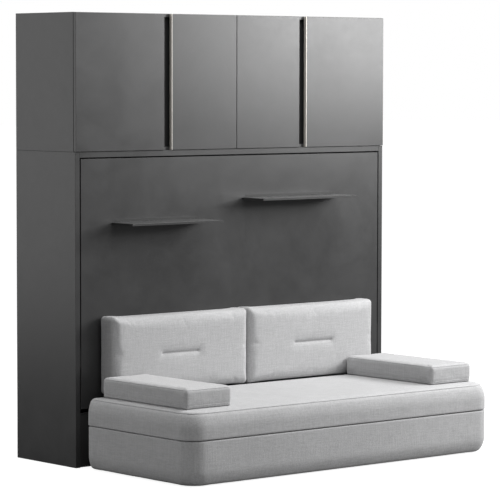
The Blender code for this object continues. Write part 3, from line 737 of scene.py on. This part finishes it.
def draw_in(piece, place, normal, reach, depth):
    """The stitches pull the skin inward beside the seam."""
    points = skin_points(piece)
    normals = np.empty(len(points) * 3, np.float64)
    piece.data.vertices.foreach_get("normal", normals)
    normals = normals.reshape(-1, 3)
    off = (points - np.array(place)) @ np.array(normal)
    pull = depth * np.exp(-((off / reach) ** 2))
    across = 1.0 - np.abs(normals @ np.array(normal)) ** 4
    set_skin_points(piece, points - normals * (pull * across)[:, None])


def thicken(radius, resolution):
    """Turns the active object's bare edges into a round cord."""
    bpy.ops.object.convert(target="CURVE")
    bpy.context.object.data.bevel_depth = radius
    bpy.context.object.data.bevel_resolution = resolution
    bpy.context.object.data.fill_mode = "FULL"
    bpy.ops.object.convert(target="MESH")
    bpy.context.object.data.shade_smooth()
    return bpy.context.object


def pipe_seam(piece, name, place, normal, radius=PIPING):
    """A piped seam round the piece, as a cord of its own."""
    draw_in(piece, place, normal, 9 * MM, 2.2 * MM)
    seam_path(piece, name, place, normal)
    cord = thicken(radius, 1)
    cord.name = name
    cord.data.name = name
    return cord


def dress(piece, body, finish, nodes=()):
    """A finished new piece: its finish, its body and the model's nodes it stands for."""
    piece.data.materials.clear()
    piece.data.materials.append(finish)
    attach(piece, body)
    if nodes:
        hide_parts(*nodes)
    return piece


print("seam helpers ready")

# %% [markdown]
# ### Sofa base and seat
#
# The base is a timber box under a tight cover: its sides bulge by a few millimetres only.
# The seat on it is one long foam slab with a piped seam round its top panel.

# %% Sew the base and the seat
FRONT_CORNER = 110 * MM
REAR_CORNER = 8 * MM
SLAB_SHRINK = 4 * MM
SLAB_PRESSURE = 2.5
RIM_REACH = 13 * MM
RIM_SHARE = 0.4


def draw_sides_in(piece, start, end, inset):
    """The sides curve inward from one height to another, as a stretched cover does."""
    points = skin_points(piece)
    low, high = points.min(axis=0), points.max(axis=0)
    middle = (low + high) / 2
    half = (high - low) / 2
    share = np.clip((points[:, 2] - start) / (end - start), 0, 1)
    pull = inset * share**2
    off = points - middle
    is_rear = off[:, 1] > half[1] - 150 * MM
    points[:, 0] = middle[0] + off[:, 0] * (1 - pull / half[0])
    points[:, 1] = middle[1] + off[:, 1] * (1 - np.where(is_rear, 0, pull) / half[1])
    set_skin_points(piece, points)


def sew_slab(name, node, body, rims, drawn, joint_at_top, cap, voxel):
    """A slab with wide corners in front, tight ones behind and a stretched cover."""
    low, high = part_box(node)
    shrink = SLAB_SHRINK
    inset = Vector((shrink, shrink, shrink))
    middle = (low.y + high.y) / 2
    rear = high.y - shrink - 1 * MM
    slab = round_all(add_block(name, low + inset, high - inset), (
        (lambda e: upright(e) and e.verts[0].co.y < middle, FRONT_CORNER - shrink, 10),
        (lambda e: upright(e) and e.verts[0].co.y > rear, REAR_CORNER, 4),
        (level_at(high.z - shrink), rims[0], 4),
        (level_at(low.z + shrink), rims[1], 4),
    ))
    even_skin(slab, voxel)
    swell(slab, cap, SLAB_PRESSURE)
    joint = high.z - shrink if joint_at_top else low.z + shrink
    rest_flat(slab, 2, joint, above=not joint_at_top)
    draw_sides_in(slab, *drawn)
    smooth_skin(slab)
    tighten_rim(slab, joint, RIM_REACH, RIM_SHARE)
    fill_space(slab, low, high)
    dress(slab, body, linen, [node])
    print(name, "has", len(slab.data.polygons), "faces")
    return slab


base_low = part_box("sofa_base")[0]
sofa_base = sew_slab(
    "sofa_base_cover", "sofa_base", "cabinet", (4 * MM, 14 * MM),
    (base_low.z + 80 * MM, base_low.z, 26 * MM), True, 4 * MM, 13 * MM,
)
seat_low, seat_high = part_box("seat_cushion")
seat = sew_slab(
    "seat_cushion_cover", "seat_cushion", "cabinet", (12 * MM, 4 * MM),
    (seat_low.z + 60 * MM, seat_high.z, 24 * MM), False, 6 * MM, 12 * MM,
)
SEAM_BELOW_TOP = 13 * MM
seat_seam = pipe_seam(
    seat, "seat_cushion_piping", (0, 0, seat_high.z - SEAM_BELOW_TOP), (0, 0, 1)
)
dress(seat_seam, "cabinet", linen)
print("seat seam of", len(seat_seam.data.polygons), "faces")

# %% [markdown]
# ### Back cushions
#
# Each back cushion leans on the bed's front panel and swings down with it. Its front cloth
# wraps round the sides to one piped seam near the rear. A short row of stitches goes right
# through the middle: it draws the front in to a crease. The foot is flat, where it sits.

# %% Sew the back cushions
BACK_SHRINK = 8 * MM
BACK_CAP = 12 * MM
BACK_CORNER = 22 * MM
BACK_FRONT_ROUND = 28 * MM
BACK_REAR_ROUND = 20 * MM
BACK_SINK = 9 * MM
CREASE_DEPTH = 13 * MM
CREASE_REACH = 7 * MM
CREASE_HEIGHT_SHARE = 0.485
CREASES = {
    "left": {"from_middle": -16 * MM, "length": 240 * MM},
    "right": {"from_middle": 2 * MM, "length": 262 * MM},
}


def press_crease(cushion, middle, length, front):
    """Draws the skin in along a short level line in the front face."""
    points = skin_points(cushion)
    along = np.maximum(np.abs(points[:, 0] - middle.x) - length / 2, 0)
    off = np.hypot(along, points[:, 2] - middle.z)
    is_front = points[:, 1] < front + 50 * MM
    sharp = np.exp(-(off / CREASE_REACH)) * CREASE_DEPTH
    broad = np.exp(-((off / (5 * CREASE_REACH)) ** 2)) * CREASE_DEPTH * 0.3
    points[:, 1] += np.where(is_front, sharp + broad, 0)
    set_skin_points(cushion, points)


def sew_back_cushion(side):
    node = f"back_cushion_{side}"
    low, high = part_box(node)
    inset = Vector((3 * MM, BACK_SHRINK, 4 * MM))
    foot = low.z + inset.z
    cushion = round_all(add_block(f"{node}_cover", low + inset, high - inset), (
        (runs_deep, BACK_CORNER, 6),
        (lies_at_depth(low.y + inset.y), BACK_FRONT_ROUND, 5),
        (lies_at_depth(high.y - inset.y), BACK_REAR_ROUND, 5),
    ))
    even_skin(cushion, 9 * MM)
    swell(cushion, BACK_CAP)
    rest_flat(cushion, 2, foot, above=True)
    rest_flat(cushion, 1, high.y - BACK_SHRINK, above=False)
    smooth_skin(cushion)
    fill_space(cushion, low - Vector((0, 0, BACK_SINK)), high)
    middle = (low + high) / 2
    middle.x += CREASES[side]["from_middle"]
    middle.z = low.z + (high.z - low.z) * CREASE_HEIGHT_SHARE
    press_crease(cushion, middle, CREASES[side]["length"], low.y)
    seam = pipe_seam(cushion, f"{node}_piping", (0, high.y - 26 * MM, 0), (0, 1, 0), 1.8 * MM)
    dress(seam, "bed", linen)
    dress(cushion, "bed", linen, [node])
    return cushion


back_cushions = {side: sew_back_cushion(side) for side in SIDES}
print("back cushions:", [len(c.data.polygons) for c in back_cushions.values()], "faces")

# %% [markdown]
# ### Arm cushions
#
# The two arms are loose flat cushions that lie on the seat. They slide forward as the bed
# comes down, so each rides on a body of its own.

# %% Sew the arm cushions
ARM_SHRINK = 5 * MM
ARM_CAP = 7 * MM
ARM_SINK = 3.5 * MM


def sew_arm_cushion(side):
    node = f"arm_cushion_{side}"
    low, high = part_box(node)
    inset = Vector((3 * MM, 3 * MM, ARM_SHRINK))
    cushion = round_all(add_block(f"{node}_cover", low + inset, high - inset), (
        (upright, 14 * MM, 4),
        (level_at(high.z - ARM_SHRINK), 9 * MM, 3),
        (level_at(low.z + ARM_SHRINK), 9 * MM, 3),
    ))
    even_skin(cushion, 7 * MM)
    swell(cushion, ARM_CAP)
    rest_flat(cushion, 2, low.z + ARM_SHRINK, above=True)
    smooth_skin(cushion)
    fill_space(cushion, low - Vector((0, 0, ARM_SINK)), high)
    for label, z in (("top", high.z - 12 * MM), ("foot", low.z + 12 * MM)):
        seam = pipe_seam(cushion, f"{node}_piping_{label}", (0, 0, z), (0, 0, 1), 1.8 * MM)
        dress(seam, f"arm_{side}", linen)
    dress(cushion, f"arm_{side}", linen, [node])
    return cushion


arm_cushions = {side: sew_arm_cushion(side) for side in SIDES}
print("arm cushions:", [len(c.data.polygons) for c in arm_cushions.values()], "faces")

# %% [markdown]
# ### Mattress
#
# The mattress stays hidden until the bed comes down, and then it is the widest thing in
# sight. Its ticking is quilted in crossed slanting rows of stitches on both wide faces, and
# a piped seam runs round each of them. It is the same foam skin as the cushions: the rows of
# stitches are pressed in afterwards, because their lines are narrower than the remesh.

# %% Sew the mattress
QUILT_PITCH = 150 * MM
QUILT_REACH = 11 * MM
QUILT_DEPTH = 7 * MM
QUILT_MARGIN = 45 * MM
MATTRESS_SHRINK = 5 * MM
mattress_low, mattress_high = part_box("mattress")


def quilt(piece, low, high):
    """Rows of stitches pull both wide faces in along crossed slanting lines."""
    points = skin_points(piece)
    off = points - np.array((low + high) / 2)
    half = np.array((high - low) / 2)
    pull = np.zeros(len(points))
    for slant in (1, -1):
        row = (off[:, 0] + slant * off[:, 2]) / math.sqrt(2)
        from_row = np.abs((row + QUILT_PITCH / 2) % QUILT_PITCH - QUILT_PITCH / 2)
        pull = np.maximum(pull, np.exp(-from_row / QUILT_REACH))
    from_edge = np.minimum(half[0] - np.abs(off[:, 0]), half[2] - np.abs(off[:, 2]))
    fade = np.clip((from_edge - QUILT_MARGIN / 2) / QUILT_MARGIN, 0, 1)
    is_wide_face = np.abs(off[:, 1]) > half[1] - 30 * MM
    points[:, 1] -= np.sign(off[:, 1]) * pull * fade * QUILT_DEPTH * is_wide_face
    set_skin_points(piece, points)


def sew_mattress():
    inset = Vector((MATTRESS_SHRINK, MATTRESS_SHRINK, MATTRESS_SHRINK))
    cover = round_all(add_block("mattress_cover", mattress_low + inset, mattress_high - inset), (
        (runs_deep, 45 * MM, 6),
        (lies_at_depth(mattress_low.y + inset.y), 14 * MM, 3),
        (lies_at_depth(mattress_high.y - inset.y), 14 * MM, 3),
    ))
    even_skin(cover, 18 * MM)
    swell(cover, 6 * MM)
    smooth_skin(cover)
    quilt(cover, mattress_low, mattress_high)
    fill_space(cover, mattress_low, mattress_high)
    for label, y in (("lower", mattress_low.y + 16 * MM), ("upper", mattress_high.y - 16 * MM)):
        seam = pipe_seam(cover, f"mattress_piping_{label}", (0, y, 0), (0, 1, 0), 2.4 * MM)
        dress(seam, "bed", ticking)
    dress(cover, "bed", ticking, ["mattress"])
    return cover


mattress_cover = sew_mattress()
print("mattress cover of", len(mattress_cover.data.polygons), "faces")

# %% [markdown]
# ## Small hardware
#
# What holds the boards together is small, but it shows as soon as a door or the bed opens.
# Each kind is modelled once, as a function that starts from a primitive at the size wanted
# and shapes it with bevels, insets and extrusions. Copies get their place in their own mesh.

# %% Screw heads, and joining pieces into one
def put_in_mesh(piece, matrix):
    """Moves the mesh itself, so that the object stays at the origin."""
    piece.data.transform(matrix)
    piece.data.update()
    return piece


def join_pieces(name, pieces):
    bpy.ops.object.select_all(action="DESELECT")
    for piece in pieces:
        piece.select_set(True)
    bpy.context.view_layer.objects.active = pieces[0]
    if len(pieces) > 1:
        bpy.ops.object.join()
    joined = bpy.context.view_layer.objects.active
    joined.name = name
    joined.data.name = name
    return joined


def facing(direction, place):
    """Turns +Z to a direction and moves to a place."""
    turn = Vector(direction).to_track_quat("Z", "Y").to_matrix().to_4x4()
    return Matrix.Translation(place) @ turn


def turned_piece(vertices, radius, depth, rounds, place=(0, 0, 0)):
    """A short cylinder round the Z axis, with its rims rounded."""
    bpy.ops.object.select_all(action="DESELECT")
    bpy.ops.mesh.primitive_cylinder_add(
        vertices=vertices, radius=radius, depth=depth, location=place
    )
    bpy.ops.object.transform_apply(location=True)
    return round_all(bpy.context.object, rounds)


def shade_by_angle():
    bpy.ops.object.shade_smooth_by_angle(angle=math.radians(35))


def screw_head(place, outward, radius=4.2 * MM, height=2.0 * MM):
    """A button head: a disc with a soft rim and a driver's recess."""
    rim = ((level_at(height), radius * 0.22, 2),)
    head = turned_piece(18, radius, height, rim, (0, 0, height / 2))
    is_top = lambda f: f.normal.z > 0.9 and f.calc_center_median().z > 0.9 * height
    sink_face(is_top, radius * 0.34, (0, 0, -0.6 * height))
    head.data.shade_smooth()
    shade_by_angle()
    return put_in_mesh(head, facing(outward, place))


def eased_block(name, low, high, ease, segments=2):
    """A block with all its edges eased alike."""
    return round_all(add_block(name, low, high), ((lambda edge: True, ease, segments),))


print("hardware helpers ready")

# %% [markdown]
# ### Screws in the steel plates
#
# The wall plates are screwed to the cabinet's sides and the bed plates to the bed's end
# rails, all from within, so their heads face the gap between the two.

# %% Screw the plates on
def screw_plate(node, body, spots, sign):
    low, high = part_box(node)
    size = high - low
    heads = [
        screw_head((spots["face"], low.y + size.y * u, low.z + size.z * v), (sign, 0, 0))
        for u, v in spots["at"]
    ]
    return dress(join_pieces(f"{node}_screws", heads), body, ground_steel)


WALL_SCREWS = [(0.10, 0.26), (0.30, 0.10), (0.62, 0.55), (0.80, 0.60), (0.93, 0.96)]
BED_SCREWS = [(0.25, 0.92), (0.75, 0.92), (0.25, 0.40), (0.75, 0.40)]
PLATE_FACE = 5.8 * MM
for side, sign in SIDES.items():
    wall_low, wall_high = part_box(f"lower_side_{side}")
    rail_low, rail_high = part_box(f"bed_rail_{side}")
    cabinet_face = (wall_low if sign > 0 else wall_high).x - sign * PLATE_FACE
    rail_face = (rail_high if sign > 0 else rail_low).x + sign * PLATE_FACE
    screw_plate(f"wall_plate_{side}", "cabinet", {"face": cabinet_face, "at": WALL_SCREWS}, -sign)
    screw_plate(f"bed_plate_{side}", "bed", {"face": rail_face, "at": BED_SCREWS}, sign)
print("plates screwed on")

# %% [markdown]
# ### Sockets of the gas struts
#
# A gas strut ends in a plastic socket that snaps over a ball stud. The model's strut has
# the ball only, so each end gets its socket: a short drum with soft rims and a spring clip.

# %% Sockets and clips on both ends of each strut
SOCKET_RADIUS = 8.6 * MM
SOCKET_DEPTH = 15 * MM
SOCKET_ROUND = 1.8 * MM
STRUT_EYE = 7.5 * MM


def strut_socket(name, centre, body, sign):
    half = SOCKET_DEPTH / 2
    rims = [(level_at(level), SOCKET_ROUND, 3) for level in (-half, half)]
    drum = turned_piece(28, SOCKET_RADIUS, SOCKET_DEPTH, rims)
    sink_face(lambda f: f.normal.z < -0.9, 1.6 * MM, (0, 0, 1.2 * MM))
    shade_by_angle()
    put_in_mesh(drum, facing((sign, 0, 0), centre))
    bpy.ops.object.select_all(action="DESELECT")
    bpy.ops.mesh.primitive_torus_add(
        major_radius=8.9 * MM, minor_radius=0.8 * MM, major_segments=28, minor_segments=8
    )
    clip = put_in_mesh(bpy.context.object, facing((sign, 0, 0), centre))
    clip.data.shade_smooth()
    dress(join_pieces(f"{name}_clip", [clip]), body, ground_steel)
    drum = join_pieces(f"{name}_socket", [drum])
    return dress(drum, body, powder_coat)


for side, sign in SIDES.items():
    cylinder_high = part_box(f"gas_strut_cylinder_{side}")[1]
    rod_low, rod_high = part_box(f"gas_strut_rod_{side}")
    middle_x = (rod_low.x + rod_high.x) / 2
    head = Vector((middle_x, cylinder_high.y - STRUT_EYE, cylinder_high.z - STRUT_EYE))
    foot = Vector((middle_x, rod_low.y + STRUT_EYE, rod_low.z + STRUT_EYE))
    strut_socket(f"strut_head_{side}", head, f"strut_cylinder_{side}", sign)
    strut_socket(f"strut_foot_{side}", foot, f"strut_rod_{side}", -sign)
print("strut sockets in place")

# %% [markdown]
# ### Concealed hinges
#
# The model holds the round cup that is let into each door. What swings it is an arm on a
# mounting plate, screwed to the cabinet, with a short link folded into the cup. The arm
# stays with the cabinet, and the link and the cup's two screwed ears go with the door.

# %% Arms, plates, links and ears
ARM_REACH = 60 * MM
ARM_TALL = 15 * MM
PLATE_LIFT = 3 * MM
ARM_LIFT = 14 * MM
ARM_FLOOR = 1.5 * MM
upper_side_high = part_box("upper_side_left")[1]
divider_low, divider_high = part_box("centre_divider")
HINGE_BOARDS = {
    1: upper_side_high.x, 2: divider_low.x, 3: divider_high.x, 4: -upper_side_high.x,
}


def hinge_arm(name, face_x, inward, front_y, height):
    """The arm and its plate, on the board whose face is at face_x."""
    plate_x = face_x + inward * PLATE_LIFT
    plate = eased_block(
        f"{name}_plate",
        (min(face_x, plate_x), front_y + 14 * MM, height - 24 * MM),
        (max(face_x, plate_x), front_y + 52 * MM, height + 24 * MM), 0.8 * MM,
    )
    near, far = face_x + inward * 3.2 * MM, face_x + inward * ARM_LIFT
    arm = add_block(
        f"{name}_arm",
        (min(near, far), front_y + 1.5 * MM, height - ARM_TALL / 2),
        (max(near, far), front_y + ARM_REACH, height + ARM_TALL / 2),
    )
    round_all(arm, ((runs_deep, 2.4 * MM, 3),))
    sink_face(lambda f: f.normal.x * inward > 0.99, 2.2 * MM, (-inward * ARM_FLOOR, 0, 0))
    floor_x = far - inward * ARM_FLOOR
    out = (inward, 0, 0)
    heads = []
    for share in (0.34, 0.78):
        spot = (floor_x, front_y + share * ARM_REACH, height)
        heads.append(screw_head(spot, out, 3.4 * MM, 1.4 * MM))
    for step in (-1, 1):
        spot = (plate_x, front_y + 33 * MM, height + step * 17 * MM)
        heads.append(screw_head(spot, out, 3.6 * MM, 1.6 * MM))
    whole = join_pieces(f"{name}_arm", [arm, plate] + heads)
    return dress(whole, "cabinet", ground_steel)


def hinge_link(name, cup, inward, door):
    """The folded link in the cup, and the two ears that hold the cup to the door."""
    low, high = cup
    middle = (low + high) / 2
    link = eased_block(
        f"{name}_link", (middle.x - 5 * MM, high.y - 9.5 * MM, middle.z - 6 * MM),
        (middle.x + 5 * MM, high.y - 0.4 * MM, middle.z + 6 * MM), 1.5 * MM,
    )
    pieces = [link]
    for step in (-1, 1):
        ear_z = middle.z + step * 23 * MM
        ear_x = middle.x + inward * 5 * MM
        ear_top = high.y + 0.8 * MM
        ear = add_block(
            f"{name}_ear", (ear_x - 6.5 * MM, high.y + 0.05 * MM, ear_z - 5.5 * MM),
            (ear_x + 6.5 * MM, ear_top, ear_z + 5.5 * MM),
        )
        pieces.append(round_all(ear, ((runs_deep, 4 * MM, 4),)))
        pieces.append(screw_head((ear_x, ear_top, ear_z), (0, 1, 0), 3.2 * MM, 1.2 * MM))
    return dress(join_pieces(f"{name}_link", pieces), door, ground_steel)


for number, face_x in HINGE_BOARDS.items():
    inward = 1 if number in (1, 3) else -1
    for place in ("low", "high"):
        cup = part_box(f"door_{number}_hinge_cup_{place}")
        name = f"door_{number}_hinge_{place}"
        hinge_arm(name, face_x, inward, cup[1].y + 1 * MM, (cup[0].z + cup[1].z) / 2)
        hinge_link(name, cup, inward, f"door_{number}")
print("hinges made for", len(HINGE_BOARDS), "doors")

# %% [markdown]
# ### Shelf hinges and shelf pins
#
# Each levelling shelf hangs on a long hinge whose barrel lies along its top rear edge.
# Its knuckles belong to the shelf and to the bed by turns, as on any piano hinge. Inside
# the overhead cabinet each fixed shelf rests on four pins.

# %% Knuckles, leaves and pins
BARREL = 2.3 * MM
KNUCKLE = 58 * MM
LEAF = 0.8 * MM
PIN_LENGTH = 11 * MM
HINGE_OFF_PANEL = 6 * MM
HINGE_MARGIN = 20 * MM
KNUCKLE_GAP = 0.5 * MM


def knuckle(x_from, x_to, y, z):
    length = x_to - x_from - KNUCKLE_GAP
    rims = [(level_at(level), 0.4 * MM, 1) for level in (-length / 2, length / 2)]
    piece = turned_piece(14, BARREL, length, rims)
    shade_by_angle()
    return put_in_mesh(piece, facing((1, 0, 0), ((x_from + x_to) / 2, y, z)))


def hang_shelf(side):
    low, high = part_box(f"levelling_shelf_{side}")
    panel_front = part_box("bed_front_panel")[0].y
    y, z = panel_front - HINGE_OFF_PANEL, high.z
    span = high.x - low.x - 2 * HINGE_MARGIN
    count = 2 * int(span / KNUCKLE / 2) + 1
    step = span / count
    rows = {"shelf": [], "bed": []}
    for index in range(count):
        start = low.x + HINGE_MARGIN + index * step
        rows["bed" if index % 2 else "shelf"].append(knuckle(start, start + step, y, z))
    ends = (low.x + HINGE_MARGIN, high.x - HINGE_MARGIN)
    rows["shelf"].append(eased_block(
        "shelf_leaf", (ends[0], y - 20 * MM, z + 0.05 * MM),
        (ends[1], y - BARREL, z + LEAF), 0.3 * MM, 1,
    ))
    rows["bed"].append(eased_block(
        "panel_leaf", (ends[0], panel_front - LEAF, z + BARREL),
        (ends[1], panel_front - 0.05 * MM, z + 16 * MM), 0.3 * MM, 1,
    ))
    for owner, body in (("shelf", f"shelf_{side}"), ("bed", "bed")):
        hinge = join_pieces(f"shelf_hinge_{side}_{owner}_half", rows[owner])
        dress(hinge, body, powder_coat)
    return count


def pin_shelf(side):
    low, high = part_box(f"upper_shelf_{side}")
    pins = []
    for end_x, inward in ((low.x, 1), (high.x, -1)):
        for y in (low.y + 40 * MM, high.y - 40 * MM):
            rim = ((level_at(PIN_LENGTH / 2), 0.8 * MM, 2),)
            pin = turned_piece(16, 2.4 * MM, PIN_LENGTH, rim)
            place = (end_x + inward * 5.8 * MM, y, low.z - 2.7 * MM)
            pins.append(put_in_mesh(pin, facing((inward, 0, 0), place)))
            lug_x = end_x + inward * 1.6 * MM
            lug = eased_block(
                "pin_lug", (min(end_x, lug_x), y - 5 * MM, low.z - 12 * MM),
                (max(end_x, lug_x), y + 5 * MM, low.z - 0.3 * MM), 0.5 * MM,
            )
            pins.append(lug)
    return dress(join_pieces(f"shelf_pins_{side}", pins), "cabinet", ground_steel)


for side in SIDES:
    print("shelf hinge", side, "of", hang_shelf(side), "knuckles")
    pin_shelf(side)

# %% [markdown]
# ### Strap buckles
#
# Two bands hold the mattress and its bedding while the bed stands up. Each is drawn tight
# through a slide buckle: a rounded wire frame with a bar across its middle.

# %% Bend the buckles
BUCKLE_WIRE = 2.2 * MM
BUCKLE_ABOVE_MIDDLE = 200 * MM
BUCKLE_HALF = (28 * MM, 17 * MM)


def strap_buckle(side):
    low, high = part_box(f"mattress_strap_{side}")
    centre = (low + high) / 2
    centre.y = high.y + BUCKLE_WIRE + 0.3 * MM
    centre.z += BUCKLE_ABOVE_MIDDLE
    bpy.ops.object.select_all(action="DESELECT")
    bpy.ops.mesh.primitive_plane_add(size=2)
    frame_wire = bpy.context.object
    frame_wire.scale = (*BUCKLE_HALF, 1)
    bpy.ops.object.transform_apply(scale=True)
    bpy.ops.object.mode_set(mode="EDIT")
    bpy.ops.mesh.select_all(action="SELECT")
    bpy.ops.mesh.bevel(offset=7 * MM, segments=5, affect="VERTICES")
    bpy.ops.mesh.select_all(action="SELECT")
    bpy.ops.mesh.delete(type="ONLY_FACE")
    bpy.ops.object.mode_set(mode="OBJECT")
    frame_wire = put_in_mesh(thicken(BUCKLE_WIRE, 2), facing((0, 1, 0), centre))
    bar = eased_block(
        "buckle_bar", (centre.x - BUCKLE_HALF[0], centre.y - 1.4 * MM, centre.z - 2.5 * MM),
        (centre.x + BUCKLE_HALF[0], centre.y + 1.4 * MM, centre.z + 2.5 * MM), 1.2 * MM, 3,
    )
    buckle = join_pieces(f"strap_buckle_{side}", [frame_wire, bar])
    return dress(buckle, "bed", ground_steel)


for side in SIDES:
    strap_buckle(side)
print("buckles bent")
